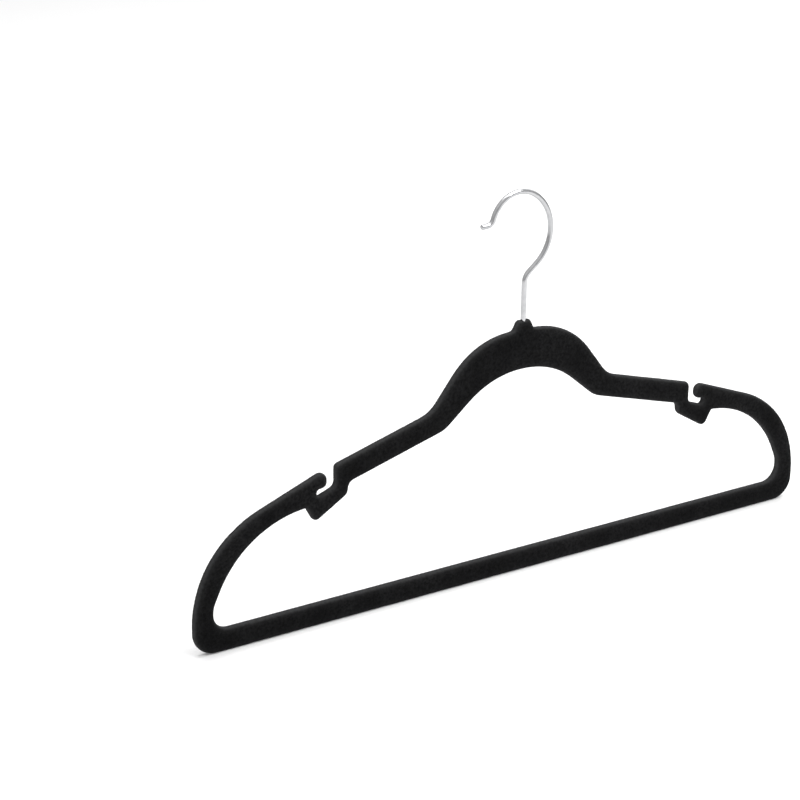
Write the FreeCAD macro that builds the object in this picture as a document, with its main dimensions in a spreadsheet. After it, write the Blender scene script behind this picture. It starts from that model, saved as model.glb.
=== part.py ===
"""Slim flocked clothes hanger with notched shoulders, a trouser bar and a swivelling wire hook.

Frame: +X along the trouser bar, +Y through the thickness (towards the back), +Z up.
The origin is on the hook's swivel axis, level with the underside of the flocked bar.
Units are millimetres and degrees.
"""
import FreeCAD, Part
import math
import os

import Sketcher

DRIVING_SIZES = {
    # the moulded core: overall
    "core_width": 449.0,
    "core_thickness": 4.6,
    "core_edge_radius": 1.7,
    "flock_thickness": 0.5,
    # trouser bar and the rounded ends of the loop: its inner side slants in above a short upright foot
    "bar_height": 13.0,
    "end_wall": 12.0,
    "end_corner_radius": 13.5,
    "end_opening_corner_radius": 10.5,
    "end_slant_height": 15.2,
    "end_slant_slope": 65.0,
    "end_slant_round": 18.4,
    # shoulders: the end vertex is where the shoulder's slope would meet the hanger's end
    "end_vertex_height": 64.3,
    "shoulder_slope": 20.5,
    "shoulder_round": 67.0,
    "shoulder_depth_at_notch": 20.2,
    "shoulder_underside_slope": 5.7,
    "shoulder_underside_round": 67.5,
    # strap notch: its floor falls outwards to a pocket under the lip, measured from the hanger's end
    "notch_from_end": 87.2,
    "notch_mouth": 6.6,
    "notch_depth": 16.6,
    "notch_floor_slope": 20.0,
    "pocket_reach": 6.8,
    "pocket_height": 6.2,
    "pocket_round": 2.3,
    "notch_floor_round": 4.5,
    "lip_round": 3.5,
    "lip_top_round": 4.0,
    # the lobe that carries the bar's load round the notch
    "lobe_web": 7.4,
    "lobe_depth": 13.8,
    "lobe_reach": 7.7,
    "lobe_slope": 31.0,
    "lobe_round": 2.7,
    "lobe_root_wall": 6.4,
    "lobe_root_round": 2.0,
    "lobe_side_round": 4.5,
    # arms
    "arm_step": 1.37,
    "arm_slope": 15.6,
    "arm_height": 14.0,
    "arm_end_wall": 8.2,
    "arm_corner_round": 2.5,
    "arm_bend_round": 20.5,
    "arm_root_round": 5.0,
    # crown and neck
    "flank_foot_x": 64.8,
    "flank_slope": 52.0,
    "crown_vertex_x": 35.1,
    "crown_slope": 5.0,
    "crown_round": 51.5,
    "crown_thickness": 23.9,
    "arch_vertex_x": 22.4,
    "arch_slope": 40.0,
    "arch_round": 58.5,
    "arch_foot_round": 19.5,
    "neck_height": 6.1,
    "neck_top_width": 8.0,
    "neck_base_width": 14.0,
    "neck_corner_round": 2.0,
    "neck_root_round": 3.0,
    # the wire hook, bend by bend from its foot to its tip
    "wire_diameter": 3.2,
    "shank_in_neck": 22.0,
    "shank_above_neck": 23.3,
    "kink_round": 8.6,
    "kink_angle": 50.5,
    "ramp_length": 6.6,
    "outer_round": 26.4,
    "outer_angle": 110.0,
    "crest_round": 19.4,
    "crest_angle": 105.0,
    "tip_round": 4.5,
    "tip_angle": 73.0,
    "tip_length": 4.4,
    "tip_end_round": 1.3,
    "foot_chamfer": 0.4,
    # the swivel: a rolled groove in the shank, filled by a ring of the moulding
    "groove_above_foot": 4.5,
    "groove_width": 2.5,
    "groove_depth": 0.5,
    "swivel_clearance": 0.06,
    "foot_clearance": 0.4,
    "flock_to_wire_gap": 0.35,
}

TOLERANCE = 1e-6
CUT_OVERRUN = "1"                  # how far a cutting cylinder runs on past the surface it opens

doc = FreeCAD.newDocument("clothes_hanger")
sizes = doc.addObject("Spreadsheet::Sheet", "sizes")
for row, (name, value) in enumerate(DRIVING_SIZES.items(), start=1):
    sizes.set(f"A{row}", name)
    sizes.set(f"B{row}", str(value))
    sizes.setAlias(f"B{row}", name)
doc.recompute()


def number(expression):
    """The value of an expression on the sheet, as a plain number."""
    value = sizes.evalExpression(expression)
    return float(getattr(value, "Value", value))


def origin_plane(body, role):
    """One of a body's own origin planes, found by its role."""
    return next(item for item in body.Origin.OriginFeatures if item.Role == role)


def new_body(name):
    body = doc.addObject("PartDesign::Body", name)
    body.Label = name
    return body


def new_sketch(body, name, role):
    sketch = body.newObject("Sketcher::SketchObject", name)
    sketch.AttachmentSupport = [(origin_plane(body, role), "")]
    sketch.MapMode = "FlatFace"
    return sketch


def place_point(sketch, geometry, vertex, x_expression, z_expression):
    """Hold one point of a sketch at a place that the sheet gives."""
    for kind, expression in (("DistanceX", x_expression), ("DistanceY", z_expression)):
        value = number(expression)
        ends = (-1, 1, geometry, vertex) if value >= 0 else (geometry, vertex, -1, 1)
        index = sketch.addConstraint(Sketcher.Constraint(kind, *ends, abs(value)))
        sign = "" if value >= 0 else "-"
        sketch.setExpression(f"Constraints[{index}]", f"{sign}({expression})")


def rounded_outline(sketch, corners):
    """Draw a closed outline from its corners, each (name, x, z, radius), in order.

    x, z and radius are expressions on the sheet. A radius of None leaves a sharp corner.
    Each round is tangent to both of its sides, and a construction point marks its corner.
    """
    count = len(corners)
    points = [FreeCAD.Vector(number(x), number(z), 0) for _, x, z, _ in corners]
    starts, ends, arcs = {}, {}, {}
    for i, (_, _, _, radius) in enumerate(corners):
        before = (points[i - 1] - points[i]).normalize()
        after = (points[(i + 1) % count] - points[i]).normalize()
        if radius is None:
            ends[i] = starts[i] = points[i]
            continue
        half_angle = before.getAngle(after) / 2
        reach = number(radius) / math.tan(half_angle)
        ends[i], starts[i] = points[i] + before * reach, points[i] + after * reach
        middle = (before + after).normalize()
        centre = points[i] + middle * (number(radius) / math.sin(half_angle))
        arcs[i] = Part.Arc(ends[i], centre - middle * number(radius), starts[i])
    lines = [Part.LineSegment(starts[i], ends[(i + 1) % count]) for i in range(count)]
    line_ids = sketch.addGeometry(lines, False)
    for i, (_, x, z, radius) in enumerate(corners):
        line_in, line_out = line_ids[i - 1], line_ids[i]
        if radius is None:
            sketch.addConstraint(Sketcher.Constraint("Coincident", line_in, 2, line_out, 1))
            place_point(sketch, line_out, 1, x, z)
            continue
        turns_left = (points[i] - points[i - 1]).cross(points[(i + 1) % count] - points[i]).z > 0
        arc = sketch.addGeometry(arcs[i], False)
        first, last = (1, 2) if turns_left else (2, 1)
        corner = sketch.addGeometry(Part.Point(points[i]), True)
        place_point(sketch, corner, 1, x, z)
        radius_index = sketch.addConstraint([
            Sketcher.Constraint("PointOnObject", corner, 1, line_in),
            Sketcher.Constraint("PointOnObject", corner, 1, line_out),
            Sketcher.Constraint("Tangent", line_in, 2, arc, first),
            Sketcher.Constraint("Tangent", arc, last, line_out, 1),
            Sketcher.Constraint("Radius", arc, number(radius)),
        ])[-1]
        sketch.setExpression(f"Constraints[{radius_index}]", radius)


def rectangle(sketch, x_low, x_high, z_low, z_high):
    """A closed rectangle with its sides on the four given expressions."""
    places = [(x_low, z_low), (x_high, z_low), (x_high, z_high), (x_low, z_high)]
    points = [FreeCAD.Vector(number(x), number(z), 0) for x, z in places]
    lines = sketch.addGeometry(
        [Part.LineSegment(points[i], points[(i + 1) % 4]) for i in range(4)], False)
    for i in range(4):
        sketch.addConstraint(Sketcher.Constraint("Coincident", lines[i], 2, lines[(i + 1) % 4], 1))
        sketch.addConstraint(Sketcher.Constraint("Vertical" if i % 2 else "Horizontal", lines[i]))
    place_point(sketch, lines[0], 1, x_low, z_low)
    place_point(sketch, lines[2], 1, x_high, z_high)


# ---------------------------------------------------------------- shared places
# Heights are built up from the bar to the crown, and the notches are hung from the ends.
HALF_WIDTH = "sizes.core_width / 2"
BAR_BOTTOM = "sizes.flock_thickness"
BAR_TOP = f"({BAR_BOTTOM} + sizes.bar_height)"
END_INSIDE = f"({HALF_WIDTH} - sizes.end_wall)"
END_VERTEX = f"({BAR_BOTTOM} + sizes.end_vertex_height)"

LIP_X = f"({HALF_WIDTH} - sizes.notch_from_end)"
LIP_TOP = f"({END_VERTEX} + sizes.notch_from_end * tan(sizes.shoulder_slope))"
NOTCH_WALL_X = f"({LIP_X} - sizes.notch_mouth)"
POCKET_X = f"({LIP_X} + sizes.pocket_reach)"
NOTCH_FLOOR = f"({LIP_TOP} - sizes.notch_depth)"
POCKET_TOP = f"({NOTCH_FLOOR} + sizes.pocket_height)"
NOTCH_WALL_FOOT = f"({NOTCH_FLOOR} + ({POCKET_X} - {NOTCH_WALL_X}) * tan(sizes.notch_floor_slope))"

LOBE_ROOT_X = f"({POCKET_X} + sizes.lobe_root_wall)"
LOBE_ROOT = f"({LIP_TOP} - sizes.shoulder_depth_at_notch)"
LOBE_TIP_X = f"({LIP_X} + sizes.lobe_reach)"
LOBE_TIP = f"({NOTCH_FLOOR} - sizes.lobe_depth)"
LOBE_SIDE_X = f"({NOTCH_WALL_X} - sizes.lobe_web)"
LOBE_SIDE = f"({LOBE_TIP} + ({LOBE_TIP_X} - {LOBE_SIDE_X}) * tan(sizes.lobe_slope))"
SLANT_FOOT = f"({BAR_TOP} + sizes.end_slant_height)"
SLANT_TOP_X = (f"(({SLANT_FOOT} + {END_INSIDE} * tan(sizes.end_slant_slope)"
               f" - {LOBE_ROOT} - {LOBE_ROOT_X} * tan(sizes.shoulder_underside_slope))"
               " / (tan(sizes.end_slant_slope) - tan(sizes.shoulder_underside_slope)))")
SLANT_TOP = f"({SLANT_FOOT} + ({END_INSIDE} - {SLANT_TOP_X}) * tan(sizes.end_slant_slope))"
SLANT_LENGTH = f"(({SLANT_TOP} - {SLANT_FOOT}) / sin(sizes.end_slant_slope))"

ARM_TOP = f"({LIP_TOP} + sizes.arm_step)"
ARM_END_X = f"({NOTCH_WALL_X} - sizes.arm_end_wall)"
FLANK_FOOT = f"({ARM_TOP} + ({NOTCH_WALL_X} - sizes.flank_foot_x) * tan(sizes.arm_slope))"
ARM_UNDERSIDE_AT_AXIS = f"({FLANK_FOOT} + sizes.flank_foot_x * tan(sizes.arm_slope) - sizes.arm_height)"
ARM_UNDERSIDE = f"({ARM_UNDERSIDE_AT_AXIS} - {ARM_END_X} * tan(sizes.arm_slope))"

CROWN_VERTEX = f"({FLANK_FOOT} + (sizes.flank_foot_x - sizes.crown_vertex_x) * tan(sizes.flank_slope))"
NECK_BASE_X = "sizes.neck_base_width / 2"
NECK_BASE = f"({CROWN_VERTEX} + (sizes.crown_vertex_x - {NECK_BASE_X}) * tan(sizes.crown_slope))"
NECK_TOP = f"({NECK_BASE} + sizes.neck_height)"
ARCH_TOP = f"({NECK_BASE} - sizes.crown_thickness)"
ARCH_AT_AXIS = f"({ARCH_TOP} + sizes.arch_vertex_x * tan(sizes.arch_slope))"
ARCH_FOOT_X = (f"(({ARCH_AT_AXIS} - {ARM_UNDERSIDE_AT_AXIS})"
               " / (tan(sizes.arch_slope) - tan(sizes.arm_slope)))")
ARCH_FOOT = f"({ARM_UNDERSIDE_AT_AXIS} - {ARCH_FOOT_X} * tan(sizes.arm_slope))"

# A round is limited where its two sides would run out of room.
ROOM = "0.5"
SHOULDER_ROUND = (f"min(sizes.shoulder_round; (sizes.end_vertex_height - sizes.end_corner_radius - {ROOM})"
                  " / tan(45 - sizes.shoulder_slope / 2))")
FOOT_SHARE = "0.15"                # of the slant's length, for the round at its foot
TOP_SHARE = "0.8"                  # of the slant's length, for the round at its top
SLANT_ROUND = (f"min(sizes.end_slant_round; min({FOOT_SHARE} * {SLANT_LENGTH};"
               f" sizes.end_slant_height - sizes.end_opening_corner_radius - {ROOM})"
               " / tan(45 - sizes.end_slant_slope / 2))")
UNDERSIDE_ROUND = (f"min(sizes.shoulder_underside_round; min({TOP_SHARE} * {SLANT_LENGTH};"
                   f" {SLANT_TOP_X} - {LOBE_ROOT_X} - sizes.lobe_root_round)"
                   " / tan((sizes.end_slant_slope - sizes.shoulder_underside_slope) / 2))")
LIP_TOP_ROUND = (f"min(sizes.lip_top_round;"
                 f" (sizes.notch_depth - sizes.pocket_height - sizes.lip_round - {ROOM})"
                 " / tan(45 + sizes.shoulder_slope / 2))")
POCKET_ROUND = (f"min(sizes.pocket_round; (sizes.pocket_height - {ROOM})"
                " / (1 + tan(45 + sizes.notch_floor_slope / 2)))")

HALF_PROFILE = [
    ("neck_top_middle", "0", NECK_TOP, None),
    ("neck_corner", "sizes.neck_top_width / 2", NECK_TOP, "sizes.neck_corner_round"),
    ("neck_base", NECK_BASE_X, NECK_BASE, "sizes.neck_root_round"),
    ("crown_vertex", "sizes.crown_vertex_x", CROWN_VERTEX, "sizes.crown_round"),
    ("flank_foot", "sizes.flank_foot_x", FLANK_FOOT, "sizes.arm_bend_round"),
    ("arm_end", NOTCH_WALL_X, ARM_TOP, "sizes.arm_corner_round"),
    ("notch_wall_foot", NOTCH_WALL_X, NOTCH_WALL_FOOT, "sizes.notch_floor_round"),
    ("pocket_floor", POCKET_X, NOTCH_FLOOR, POCKET_ROUND),
    ("pocket_top", POCKET_X, POCKET_TOP, POCKET_ROUND),
    ("lip_underside", LIP_X, POCKET_TOP, "sizes.lip_round"),
    ("lip_top", LIP_X, LIP_TOP, LIP_TOP_ROUND),
    ("end_vertex", HALF_WIDTH, END_VERTEX, SHOULDER_ROUND),
    ("bottom_corner", HALF_WIDTH, BAR_BOTTOM, "sizes.end_corner_radius"),
    ("bar_bottom_middle", "0", BAR_BOTTOM, None),
    ("bar_top_middle", "0", BAR_TOP, None),
    ("opening_corner", END_INSIDE, BAR_TOP, "sizes.end_opening_corner_radius"),
    ("slant_foot", END_INSIDE, SLANT_FOOT, SLANT_ROUND),
    ("slant_top", SLANT_TOP_X, SLANT_TOP, UNDERSIDE_ROUND),
    ("lobe_root", LOBE_ROOT_X, LOBE_ROOT, "sizes.lobe_root_round"),
    ("lobe_tip", LOBE_TIP_X, LOBE_TIP, "sizes.lobe_round"),
    ("lobe_side", LOBE_SIDE_X, LOBE_SIDE, "sizes.lobe_side_round"),
    ("arm_underside_end", ARM_END_X, ARM_UNDERSIDE, "sizes.arm_root_round"),
    ("arch_foot", ARCH_FOOT_X, ARCH_FOOT, "sizes.arch_foot_round"),
    ("arch_vertex", "sizes.arch_vertex_x", ARCH_TOP, "sizes.arch_round"),
    ("arch_middle", "0", ARCH_TOP, None),
]

# A rounded edge takes at most this share of the half thickness or of the corner it runs round.
LARGEST_SHARE = "0.9"
EDGE_ROUND = (f"min(sizes.core_edge_radius; {LARGEST_SHARE} * sizes.core_thickness / 2;"
              f" {LARGEST_SHARE} * sizes.neck_corner_round; {LARGEST_SHARE} * sizes.lobe_round)")


# ---------------------------------------------------------------- moulded blank
def make_blank():
    """The core's outer form without its bore: a plate of even thickness with rounded edges."""
    body = new_body("core_blank")
    outline = new_sketch(body, "half_profile", "XZ_Plane")
    rounded_outline(outline, HALF_PROFILE)
    doc.recompute()

    plate = body.newObject("PartDesign::Pad", "half_plate")
    plate.Profile = outline
    plate.Midplane = True
    plate.setExpression("Length", "sizes.core_thickness")
    doc.recompute()

    whole = body.newObject("PartDesign::Mirrored", "whole_plate")
    whole.Originals = [plate]
    whole.MirrorPlane = (origin_plane(body, "YZ_Plane"), [""])
    whole.Refine = True
    body.Tip = whole
    doc.recompute()

    rounds = body.newObject("PartDesign::Fillet", "edge_rounds")
    rounds.Base = (whole, face_outline_edges(whole.Shape, number("sizes.core_thickness / 2")))
    rounds.setExpression("Radius", EDGE_ROUND)
    body.Tip = rounds
    doc.recompute()
    return body


def face_outline_edges(shape, half_thickness):
    """The names of the edges that lie in the front or the back face."""
    names = []
    for index, edge in enumerate(shape.Edges, start=1):
        box = edge.BoundBox
        if box.YLength < TOLERANCE and abs(abs(box.Center.y) - half_thickness) < TOLERANCE:
            names.append(f"Edge{index}")
    return names


# ---------------------------------------------------------------- wire hook
FOOT = f"({NECK_TOP} - sizes.shank_in_neck)"
GROOVE_BOTTOM = f"({FOOT} + sizes.groove_above_foot)"
SHANK_RADIUS = "sizes.wire_diameter / 2"

# Each run of the wire: (name, length or radius, turn), where a turn to the left is positive.
WIRE_RUNS = [
    ("shank", "sizes.shank_in_neck + sizes.shank_above_neck", None),
    ("kink", "sizes.kink_round", "-sizes.kink_angle"),
    ("ramp", "sizes.ramp_length", None),
    ("outer_bend", "sizes.outer_round", "sizes.outer_angle"),
    ("crest_bend", "sizes.crest_round", "sizes.crest_angle"),
    ("tip_bend", "sizes.tip_round", "-sizes.tip_angle"),
    ("tip", "sizes.tip_length", None),
]


def draw_wire_path(sketch):
    """The wire's centre line: straight runs and arcs, each tangent to the one before it."""
    position, heading = FreeCAD.Vector(0, number(FOOT), 0), math.radians(90)
    previous, previous_end = None, None
    for _, size, turn in WIRE_RUNS:
        along = FreeCAD.Vector(math.cos(heading), math.sin(heading), 0)
        if turn is None:
            target = position + along * number(size)
            run = sketch.addGeometry(Part.LineSegment(position, target), False)
            near, far = 1, 2
            measure = Sketcher.Constraint("Distance", run, number(size))
        else:
            swing, side = math.radians(number(turn)), math.copysign(1, number(turn))
            centre = position + FreeCAD.Vector(-along.y, along.x, 0) * (side * number(size))

            def on_arc(angle):
                spoke = FreeCAD.Vector(math.sin(heading + angle), -math.cos(heading + angle), 0)
                return centre + spoke * (side * number(size))

            target = on_arc(swing)
            run = sketch.addGeometry(Part.Arc(position, on_arc(swing / 2), target), False)
            near, far = (1, 2) if side > 0 else (2, 1)
            measure = Sketcher.Constraint("Radius", run, number(size))
            sweep = sketch.addConstraint(Sketcher.Constraint("Angle", run, abs(swing)))
            sketch.setExpression(f"Constraints[{sweep}]", turn.lstrip("-") + " * 1deg")
            heading += swing
        index = sketch.addConstraint(measure)
        sketch.setExpression(f"Constraints[{index}]", size)
        if previous is None:
            place_point(sketch, run, near, "0", FOOT)
            sketch.addConstraint(Sketcher.Constraint("Vertical", run))
        else:
            sketch.addConstraint(Sketcher.Constraint("Tangent", previous, previous_end, run, near))
        previous, previous_end, position = run, far, target


def end_edge(shape, centre):
    """The name of the round edge about the given centre, which is one end of the wire."""
    closed = [index for index, edge in enumerate(shape.Edges, start=1) if edge.isClosed()]
    nearest = min(closed, key=lambda index: (shape.Edges[index - 1].BoundBox.Center - centre).Length)
    return f"Edge{nearest}"


def make_hook():
    """Round steel wire, bent cold, with a rolled retaining groove near its foot."""
    body = new_body("wire_hook")
    path = new_sketch(body, "wire_path", "XZ_Plane")
    draw_wire_path(path)
    section = new_sketch(body, "wire_section", "XY_Plane")
    section.setExpression("AttachmentOffset.Base.z", FOOT)
    circle = section.addGeometry(
        Part.Circle(FreeCAD.Vector(0, 0, 0), FreeCAD.Vector(0, 0, 1), number(SHANK_RADIUS)), False)
    section.addConstraint(Sketcher.Constraint("Coincident", circle, 3, -1, 1))
    radius = section.addConstraint(Sketcher.Constraint("Radius", circle, number(SHANK_RADIUS)))
    section.setExpression(f"Constraints[{radius}]", SHANK_RADIUS)
    doc.recompute()

    wire = body.newObject("PartDesign::AdditivePipe", "bent_wire")
    wire.Profile = section
    wire.Spine = (path, [])
    doc.recompute()

    tip_round = body.newObject("PartDesign::Fillet", "tip_round")
    tip_round.Base = (wire, [end_edge(wire.Shape, path.Shape.Vertexes[-1].Point)])
    tip_round.setExpression("Radius", f"min(sizes.tip_end_round; {LARGEST_SHARE} * {SHANK_RADIUS})")
    doc.recompute()

    foot = body.newObject("PartDesign::Chamfer", "foot_chamfer")
    foot.Base = (tip_round, [end_edge(tip_round.Shape, FreeCAD.Vector(0, 0, number(FOOT)))])
    foot.setExpression("Size", "sizes.foot_chamfer")
    doc.recompute()

    ring = new_sketch(body, "groove_section", "XZ_Plane")
    rectangle(ring, f"{SHANK_RADIUS} - sizes.groove_depth", "sizes.wire_diameter",
              GROOVE_BOTTOM, f"{GROOVE_BOTTOM} + sizes.groove_width")
    doc.recompute()
    groove = body.newObject("PartDesign::Groove", "retaining_groove")
    groove.Profile = ring
    groove.ReferenceAxis = (ring, ["V_Axis"])
    groove.Angle = 360
    before = foot.Shape.Volume
    doc.recompute()
    if not groove.Shape.Volume < before:
        raise RuntimeError("the retaining groove cut nothing")
    body.Tip = groove
    return body


# ---------------------------------------------------------------- bore, core and flock
def cylinder(name, radius, height, base):
    """An upright cylinder on the swivel axis; its sizes are expressions on the sheet."""
    shape = doc.addObject("Part::Cylinder", name)
    shape.setExpression("Radius", radius)
    shape.setExpression("Height", height)
    shape.setExpression("Placement.Base.z", base)
    return shape


def cut(name, base, tool):
    result = doc.addObject("Part::Cut", name)
    result.Base, result.Tool = base, tool
    return result


def make_swivel_bore():
    """The shank's running bore, less the ring that sits in the shank's groove."""
    bore = cylinder("shank_bore", f"{SHANK_RADIUS} + sizes.swivel_clearance",
                    f"sizes.shank_in_neck + sizes.foot_clearance + {CUT_OVERRUN}",
                    f"{FOOT} - sizes.foot_clearance")
    ring_height = "sizes.groove_width - 2 * sizes.swivel_clearance"
    ring_base = f"{GROOVE_BOTTOM} + sizes.swivel_clearance"
    ring_outer = cylinder("ring_outer", "sizes.wire_diameter", ring_height, ring_base)
    ring_inner = cylinder("ring_inner", f"{SHANK_RADIUS} - sizes.groove_depth + sizes.swivel_clearance",
                          ring_height, ring_base)
    return cut("swivel_bore", bore, cut("retaining_ring", ring_outer, ring_inner))


def make_core(blank):
    """The moulded core, with the hook's bore from the neck's top down into the crown."""
    core = cut("frame_core", blank, make_swivel_bore())
    core.Label = "frame_core"
    return core


def make_flock_coat(blank):
    """The flock and its adhesive: an even skin all over the core, open where the wire comes out."""
    outer = doc.addObject("Part::Offset", "flocked_blank")
    outer.Source = blank
    outer.setExpression("Value", "sizes.flock_thickness")
    opening = cylinder("wire_opening", f"{SHANK_RADIUS} + sizes.flock_to_wire_gap",
                       f"sizes.core_edge_radius + sizes.flock_thickness + {CUT_OVERRUN}",
                       f"{NECK_TOP} - sizes.core_edge_radius")
    coat = cut("flock_coat", cut("closed_coat", outer, blank), opening)
    coat.Label = "flock_coat"
    return coat


# ---------------------------------------------------------------- build, check, write
core_blank = make_blank()
PIECES = [make_core(core_blank), make_flock_coat(core_blank), make_hook()]
doc.recompute()

for item in doc.Objects:
    if {"Invalid", "Error"} & set(item.State):
        raise RuntimeError(f"{item.Name} did not rebuild: {item.State}")
for piece in PIECES:
    shape = piece.Shape
    if shape.isNull() or not shape.isValid() or len(shape.Solids) != 1 or shape.Volume <= 0:
        raise RuntimeError(f"{piece.Label} is not one valid solid")

os.makedirs("parts", exist_ok=True)
for piece in PIECES:
    piece.Shape.exportStep(f"parts/{piece.Label}.step")
    box = piece.Shape.optimalBoundingBox(True, False)
    print(f"{piece.Label}: {piece.Shape.Volume / 1000:.2f} cm3,"
          f" X {box.XMin:.2f}..{box.XMax:.2f}, Y {box.YMin:.2f}..{box.YMax:.2f},"
          f" Z {box.ZMin:.2f}..{box.ZMax:.2f}")
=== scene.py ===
"""Blender looks for a slim flocked clothes hanger: velvet skin, chrome hook, floor, light, camera.

Lengths are metres and angles are degrees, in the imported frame: +X along the trouser bar,
+Y through the thickness towards the back, +Z up, with the origin under the swivel axis.
"""

import math

import bmesh
import bpy
import numpy as np
from mathutils import Matrix, Vector, noise
from mathutils.bvhtree import BVHTree


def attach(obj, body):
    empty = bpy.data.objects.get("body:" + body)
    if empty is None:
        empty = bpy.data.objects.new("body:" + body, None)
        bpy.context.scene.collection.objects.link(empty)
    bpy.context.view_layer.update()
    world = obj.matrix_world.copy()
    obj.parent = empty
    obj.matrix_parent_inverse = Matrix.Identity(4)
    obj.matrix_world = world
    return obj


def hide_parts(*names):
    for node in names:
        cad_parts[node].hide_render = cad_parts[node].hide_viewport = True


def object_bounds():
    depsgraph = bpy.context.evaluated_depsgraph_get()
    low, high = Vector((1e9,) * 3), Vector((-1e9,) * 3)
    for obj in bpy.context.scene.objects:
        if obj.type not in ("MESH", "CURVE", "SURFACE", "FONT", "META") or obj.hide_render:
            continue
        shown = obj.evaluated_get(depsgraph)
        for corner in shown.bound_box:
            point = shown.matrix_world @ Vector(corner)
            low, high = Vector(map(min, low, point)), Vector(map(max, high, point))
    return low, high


MM = 0.001

# The velvet skin
SKIN_THICKNESS = 0.5 * MM          # the flock and its adhesive over the core
SKIN_VOXEL = 0.6 * MM
SKIN_SMOOTH_PASSES = 6
SKIN_SMOOTH_SHARE = 0.5            # how far each pass moves a point towards its neighbours
WELD_DISTANCE = 0.001 * MM
INNER_SHARE = 0.2                  # a coat face nearer the core than this much of the skin is its inside
SHEEN_SPREAD_PASSES = 60             # more passes carry the painted sheen further into the faces
SHEEN_SPREAD_SHARE = 0.5             # how much of a point's painted sheen each pass takes from its neighbours
NAP_LAYERS = (                     # (size of the unevenness, height)
    (24 * MM, 0.06 * MM),
    (5.5 * MM, 0.035 * MM),
    (1.7 * MM, 0.045 * MM),
)

# The camera: where it looks from, and the point it is turned towards
AIM = Vector((-66.92, 42.43, 109.20)) * MM
CAMERA_AZIMUTH = -32.6
CAMERA_ELEVATION = 21.29
CAMERA_ROLL = 0.55
CAMERA_DISTANCE = 1.3252
CAMERA_LENS = 98.76
CAMERA_SHIFT = (0.01362, 0.00568)
CAMERA_SENSOR = 36                 # millimetres, like the lens

# The studio
FLOOR_HALF_WIDTH = 6.0
WORLD_HEIGHTS = (-0.1, 0.8)        # a direction's Z where the room's brightness starts and stops climbing
WORLD_STRENGTHS = (0.55, 0.95)
SOFTBOXES = (                      # (name, place, width, watts)
    ("key", (0.35, -0.70, 0.95), 0.5, 6),
    ("top", (0.2, 0.1, 1.7), 1.4, 15),
    ("edge", (1.4, 1.0, 1.1), 1.0, 7),
)

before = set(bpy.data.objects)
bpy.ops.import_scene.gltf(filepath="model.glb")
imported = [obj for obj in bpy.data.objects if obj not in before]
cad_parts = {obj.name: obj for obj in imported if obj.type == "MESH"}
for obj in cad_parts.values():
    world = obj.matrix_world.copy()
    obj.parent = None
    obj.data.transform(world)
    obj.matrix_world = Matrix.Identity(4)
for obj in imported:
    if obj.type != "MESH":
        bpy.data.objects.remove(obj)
cad_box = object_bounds()


# ---------------------------------------------------------------- node materials
class Shader:
    """A short way to write a node material: each call adds one node and returns its output."""

    def __init__(self, name):
        self.material = bpy.data.materials.new(name)
        self.material.use_nodes = True
        self.nodes = self.material.node_tree.nodes
        self.links = self.material.node_tree.links
        self.surface = self.nodes["Principled BSDF"]
        self.place = self.nodes.new("ShaderNodeTexCoord").outputs

    def connect(self, source, socket):
        if hasattr(source, "is_linked"):
            self.links.new(source, socket)
        else:
            socket.default_value = source

    def noise(self, scale, detail=4.0, roughness=0.55, place=None):
        node = self.nodes.new("ShaderNodeTexNoise")
        node.inputs["Scale"].default_value = scale
        node.inputs["Detail"].default_value = detail
        node.inputs["Roughness"].default_value = roughness
        self.links.new(place or self.place["Object"], node.inputs["Vector"])
        return node.outputs["Fac"]

    def cells(self, scale, place=None):
        node = self.nodes.new("ShaderNodeTexVoronoi")
        node.inputs["Scale"].default_value = scale
        self.links.new(place or self.place["Object"], node.inputs["Vector"])
        return node.outputs["Distance"]

    def stretched(self, scale):
        """Object coordinates scaled by different amounts along X, Y and Z."""
        node = self.nodes.new("ShaderNodeMapping")
        node.inputs["Scale"].default_value = scale
        self.links.new(self.place["Object"], node.inputs["Vector"])
        return node.outputs["Vector"]

    def remap(self, value, low, high, new_low, new_high):
        node = self.nodes.new("ShaderNodeMapRange")
        node.inputs["From Min"].default_value = low
        node.inputs["From Max"].default_value = high
        node.inputs["To Min"].default_value = new_low
        node.inputs["To Max"].default_value = new_high
        self.links.new(value, node.inputs["Value"])
        return node.outputs["Result"]

    def maths(self, operation, first, second):
        node = self.nodes.new("ShaderNodeMath")
        node.operation = operation
        self.connect(first, node.inputs[0])
        self.connect(second, node.inputs[1])
        return node.outputs["Value"]

    def mix(self, factor, first, second):
        node = self.nodes.new("ShaderNodeMix")
        node.data_type = "RGBA"
        self.connect(factor, node.inputs["Factor"])
        self.connect(first, node.inputs[6])
        self.connect(second, node.inputs[7])
        return node.outputs[2]

    def attribute(self, name):
        node = self.nodes.new("ShaderNodeAttribute")
        node.attribute_name = name
        return node.outputs["Fac"]

    def bump(self, height, strength, distance, under=None):
        node = self.nodes.new("ShaderNodeBump")
        node.inputs["Strength"].default_value = strength
        node.inputs["Distance"].default_value = distance
        self.links.new(height, node.inputs["Height"])
        if under is not None:
            self.links.new(under, node.inputs["Normal"])
        return node.outputs["Normal"]

    def set(self, **values):
        """Set or link the surface's sockets, named with underscores for spaces."""
        for name, value in values.items():
            self.connect(value, self.surface.inputs[name.replace("_", " ")])


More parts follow.
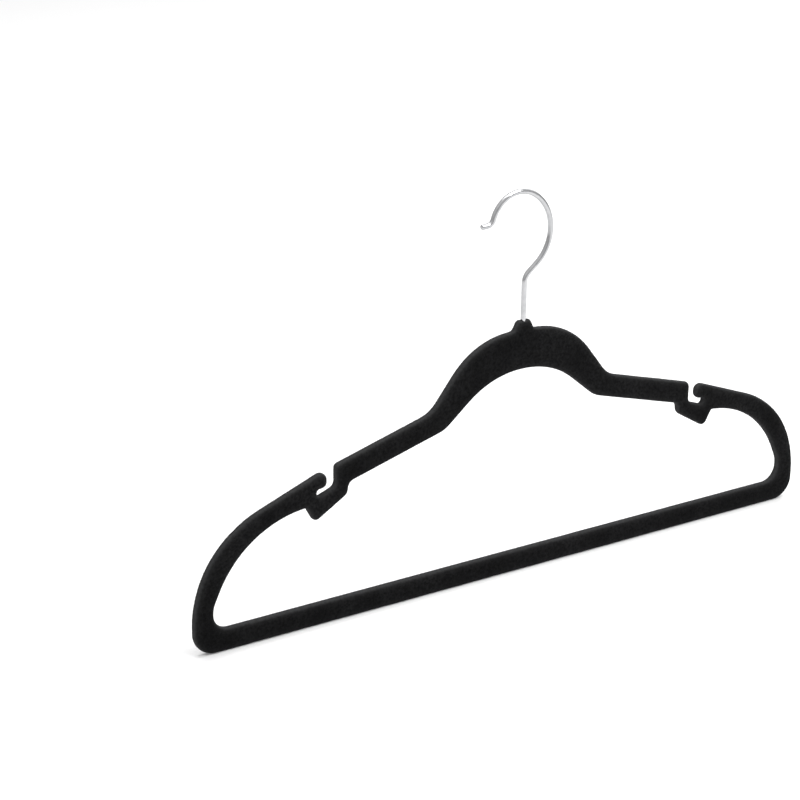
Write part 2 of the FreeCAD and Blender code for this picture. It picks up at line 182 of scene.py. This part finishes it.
def velvet_material():
    """Short black nylon flock: a dull dark pile with a grey sheen, finer than a millimetre, and a painted
    sheen that lightens its walls and the faces near its edges.
    """
    shader = Shader("black_flock")
    pile = shader.noise(2600, detail=6.0, roughness=0.7)
    clumps = shader.noise(620, detail=3.0)
    brushed = shader.noise(38, detail=3.0, place=shader.stretched((1.0, 1.0, 0.45)))
    fibre_tips = shader.cells(2100)
    # mask for the painted sheen: the walls and rounded edges get a lighter colour in place of the pile's
    # grazing highlight
    painted_sheen_walls = shader.remap(shader.attribute("painted_sheen_walls"), 0.04, 0.62, 0.0, 1.0)

    patches = shader.maths("MULTIPLY", shader.remap(brushed, 0.34, 0.66, 0.30, 1.0),
                           shader.remap(clumps, 0.36, 0.64, 0.10, 1.0))
    ground = shader.mix(patches, (0.0006, 0.0006, 0.0007, 1), (0.0110, 0.0110, 0.0114, 1))
    tipped = shader.mix(shader.remap(pile, 0.45, 0.75, 0.0, 1.0), ground, (0.0135, 0.0135, 0.0140, 1))
    # painted sheen: a lighter band that fades from the edges a few millimetres into the faces
    painted_sheen_band = shader.maths("MULTIPLY", shader.remap(shader.attribute("painted_sheen_spread"), 0.0, 0.55, 0.0, 1.0),
                            shader.remap(patches, 0.1, 0.9, 0.6, 1.0))
    colour_with_sheen_band = shader.mix(painted_sheen_band, tipped, (0.0230, 0.0230, 0.0235, 1))
    # painted sheen: the walls take the lightest colour, varied at random by the clumps
    colour_with_painted_sheen = shader.mix(shader.maths("MULTIPLY", painted_sheen_walls, shader.remap(clumps, 0.25, 0.75, 0.50, 1.0)),
                      colour_with_sheen_band, (0.040, 0.040, 0.041, 1))
    shader.set(Base_Color=colour_with_painted_sheen, Roughness=shader.remap(pile, 0.3, 0.7, 0.82, 1.0))
    shader.set(Specular_IOR_Level=0.03, Sheen_Weight=0.02, Sheen_Roughness=0.42,
               Sheen_Tint=(0.70, 0.70, 0.72, 1))
    soft = shader.bump(clumps, 0.35, 0.5 * MM)
    tips = shader.bump(shader.maths("ADD", pile, fibre_tips), 0.55, 0.22 * MM, under=soft)
    shader.set(Normal=tips)
    return shader.material


def chrome_material():
    """Bright plated wire: fine drawing marks, faint ripples and small dull scuffs."""
    shader = Shader("chrome_wire_bright")
    ripple = shader.noise(240, detail=2.0)
    drawing_marks = shader.noise(1500, detail=5.0, place=shader.stretched((1.0, 1.0, 0.12)))
    scuffs = shader.noise(420, detail=6.0, roughness=0.7)
    tone = shader.mix(shader.remap(ripple, 0.3, 0.7, 0.0, 1.0),
                      (0.43, 0.435, 0.445, 1), (0.52, 0.52, 0.53, 1))
    dulled = shader.mix(shader.remap(scuffs, 0.58, 0.78, 0.0, 0.55), tone, (0.33, 0.33, 0.34, 1))
    shader.set(Base_Color=dulled, Metallic=1.0, Specular_Tint=(0.48, 0.48, 0.49, 1),
               Roughness=shader.maths("ADD", shader.remap(drawing_marks, 0.3, 0.7, 0.07, 0.15),
                                      shader.remap(scuffs, 0.55, 0.8, 0.0, 0.18)))
    waves = shader.bump(ripple, 0.10, 0.3 * MM)
    shader.set(Normal=shader.bump(drawing_marks, 0.12, 0.05 * MM, under=waves))
    return shader.material


def core_material():
    """Black moulded plastic with a fine spark-eroded grain."""
    shader = Shader("black_moulding")
    grain = shader.noise(1800, detail=5.0, roughness=0.6)
    tone = shader.mix(grain, (0.016, 0.016, 0.017, 1), (0.034, 0.034, 0.036, 1))
    shader.set(Base_Color=tone, Roughness=shader.remap(grain, 0.3, 0.7, 0.38, 0.55))
    shader.set(Normal=shader.bump(grain, 0.3, 0.08 * MM))
    return shader.material


def floor_material():
    """Matt white studio board with a barely visible tooth."""
    shader = Shader("studio_board")
    tooth = shader.noise(300, detail=4.0)
    shader.set(Base_Color=shader.mix(tooth, (0.86, 0.86, 0.86, 1), (0.90, 0.90, 0.90, 1)),
               Roughness=0.9, Specular_IOR_Level=0.1)
    shader.set(Normal=shader.bump(tooth, 0.08, 0.2 * MM))
    return shader.material


def paint(piece, material):
    """Give every slot of a piece the one material."""
    if not piece.material_slots:
        piece.data.materials.append(material)
    for slot in piece.material_slots:
        slot.material = material


# ---------------------------------------------------------------- velvet skin
def surface_of(node):
    """A search tree over a CAD node's surface."""
    mesh = bmesh.new()
    mesh.from_mesh(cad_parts[node].data)
    tree = BVHTree.FromBMesh(mesh)
    mesh.free()
    return tree


def outer_shell():
    """The outside of the coat alone, closed where the wire comes out, as a new mesh."""
    core = surface_of("frame_core")
    shell = bmesh.new()
    shell.from_mesh(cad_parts["flock_coat"].data)
    bmesh.ops.remove_doubles(shell, verts=shell.verts, dist=WELD_DISTANCE)
    inner = [face for face in shell.faces
             if core.find_nearest(face.calc_center_median())[3] < INNER_SHARE * SKIN_THICKNESS]
    bmesh.ops.delete(shell, geom=inner, context="FACES")
    bmesh.ops.holes_fill(shell, edges=[edge for edge in shell.edges if edge.is_boundary])
    bmesh.ops.triangulate(shell, faces=shell.faces)
    mesh = bpy.data.meshes.new("velvet_skin")
    shell.to_mesh(mesh)
    shell.free()
    return mesh


def apply_modifiers(piece):
    """Replace a piece's mesh by what its modifiers make of it."""
    graph = bpy.context.evaluated_depsgraph_get()
    made = bpy.data.meshes.new_from_object(piece.evaluated_get(graph))
    piece.modifiers.clear()
    piece.data = made


def nap_height(place):
    """How far the pile stands proud of an even coat, at a place on it."""
    return sum(height * noise.noise(place / size) for size, height in NAP_LAYERS)


def add_painted_sheen_masks(mesh):
    """Masks for a painted sheen, lighter colour standing in for the pile's highlight: full on the walls,
    fading a few millimetres into the faces.
    """
    normals = np.array([vertex.normal for vertex in mesh.vertices])
    ends = np.array([edge.vertices for edge in mesh.edges])
    wall = 1 - np.abs(normals[:, 1])
    neighbours = np.bincount(ends.ravel(), minlength=len(wall))
    spread = wall.copy()
    for _ in range(SHEEN_SPREAD_PASSES):
        total = np.bincount(ends[:, 0], weights=spread[ends[:, 1]], minlength=len(wall))
        total += np.bincount(ends[:, 1], weights=spread[ends[:, 0]], minlength=len(wall))
        spread = (1 - SHEEN_SPREAD_SHARE) * spread + SHEEN_SPREAD_SHARE * total / neighbours
    for name, values in (("painted_sheen_walls", wall), ("painted_sheen_spread", spread)):
        mesh.attributes.new(name, "FLOAT", "POINT").data.foreach_set("value", values)


def make_skin():
    """The flocked skin: an even dense mesh of the coat with an uneven pile raised on it."""
    skin = bpy.data.objects.new("velvet_skin", outer_shell())
    bpy.context.scene.collection.objects.link(skin)
    remesh = skin.modifiers.new("even_mesh", "REMESH")
    remesh.mode = "VOXEL"
    remesh.voxel_size = SKIN_VOXEL
    smooth = skin.modifiers.new("ease", "SMOOTH")
    smooth.factor = SKIN_SMOOTH_SHARE
    smooth.iterations = SKIN_SMOOTH_PASSES
    apply_modifiers(skin)

    mesh = skin.data
    mesh.shade_smooth()
    add_painted_sheen_masks(mesh)
    lifted = [vertex.co + vertex.normal * nap_height(vertex.co) for vertex in mesh.vertices]
    for vertex, place in zip(mesh.vertices, lifted):
        vertex.co = place
    mesh.update()
    paint(skin, velvet_material())
    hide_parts("flock_coat")
    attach(skin, "frame_body")
    return skin


# ---------------------------------------------------------------- studio
def make_floor():
    """A square board level with the hanger's underside."""
    mesh = bpy.data.meshes.new("studio_floor")
    half, level = FLOOR_HALF_WIDTH, cad_box[0].z
    corners = [(-half, -half, level), (half, -half, level), (half, half, level), (-half, half, level)]
    mesh.from_pydata(corners, [], [(0, 1, 2, 3)])
    floor = bpy.data.objects.new("studio_floor", mesh)
    bpy.context.scene.collection.objects.link(floor)
    paint(floor, floor_material())


def make_world():
    """A pale room, brightest overhead."""
    world = bpy.data.worlds.new("pale_room")
    bpy.context.scene.world = world
    world.use_nodes = True
    nodes, links = world.node_tree.nodes, world.node_tree.links
    background = nodes["Background"]
    direction = nodes.new("ShaderNodeTexCoord")
    split = nodes.new("ShaderNodeSeparateXYZ")
    ramp = nodes.new("ShaderNodeMapRange")
    links.new(direction.outputs["Generated"], split.inputs["Vector"])
    links.new(split.outputs["Z"], ramp.inputs["Value"])
    ramp.inputs["From Min"].default_value, ramp.inputs["From Max"].default_value = WORLD_HEIGHTS
    ramp.inputs["To Min"].default_value, ramp.inputs["To Max"].default_value = WORLD_STRENGTHS
    background.inputs["Color"].default_value = (1, 1, 1, 1)
    links.new(ramp.outputs["Result"], background.inputs["Strength"])


def softbox(name, place, size, power):
    """A square area light that faces the hanger's middle."""
    data = bpy.data.lights.new(name, "AREA")
    data.size = size
    data.energy = power
    light = bpy.data.objects.new(name, data)
    light.location = place
    middle = (cad_box[0] + cad_box[1]) / 2
    light.rotation_euler = (middle - light.location).to_track_quat("-Z", "Y").to_euler()
    bpy.context.scene.collection.objects.link(light)


def make_camera():
    """The camera, turned towards AIM and rolled a little about its line of sight."""
    azimuth, elevation = math.radians(CAMERA_AZIMUTH), math.radians(CAMERA_ELEVATION)
    right = Vector((math.cos(azimuth), math.sin(azimuth), 0))
    back = Vector((math.sin(azimuth) * math.cos(elevation),
                   -math.cos(azimuth) * math.cos(elevation), math.sin(elevation)))
    up = back.cross(right)
    turn = Matrix((right, up, back)).transposed().to_4x4()
    roll = Matrix.Rotation(math.radians(CAMERA_ROLL), 4, "Z")
    data = bpy.data.cameras.new("camera")
    data.sensor_width = CAMERA_SENSOR
    data.lens = CAMERA_LENS
    data.shift_x, data.shift_y = CAMERA_SHIFT
    camera = bpy.data.objects.new("camera", data)
    camera.matrix_world = Matrix.Translation(AIM + back * CAMERA_DISTANCE) @ turn @ roll
    bpy.context.scene.collection.objects.link(camera)
    bpy.context.scene.camera = camera


make_skin()
paint(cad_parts["wire_hook"], chrome_material())
paint(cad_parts["frame_core"], core_material())
make_floor()
make_world()
for settings in SOFTBOXES:
    softbox(*settings)
make_camera()
bpy.context.scene.view_settings.view_transform = "Standard"
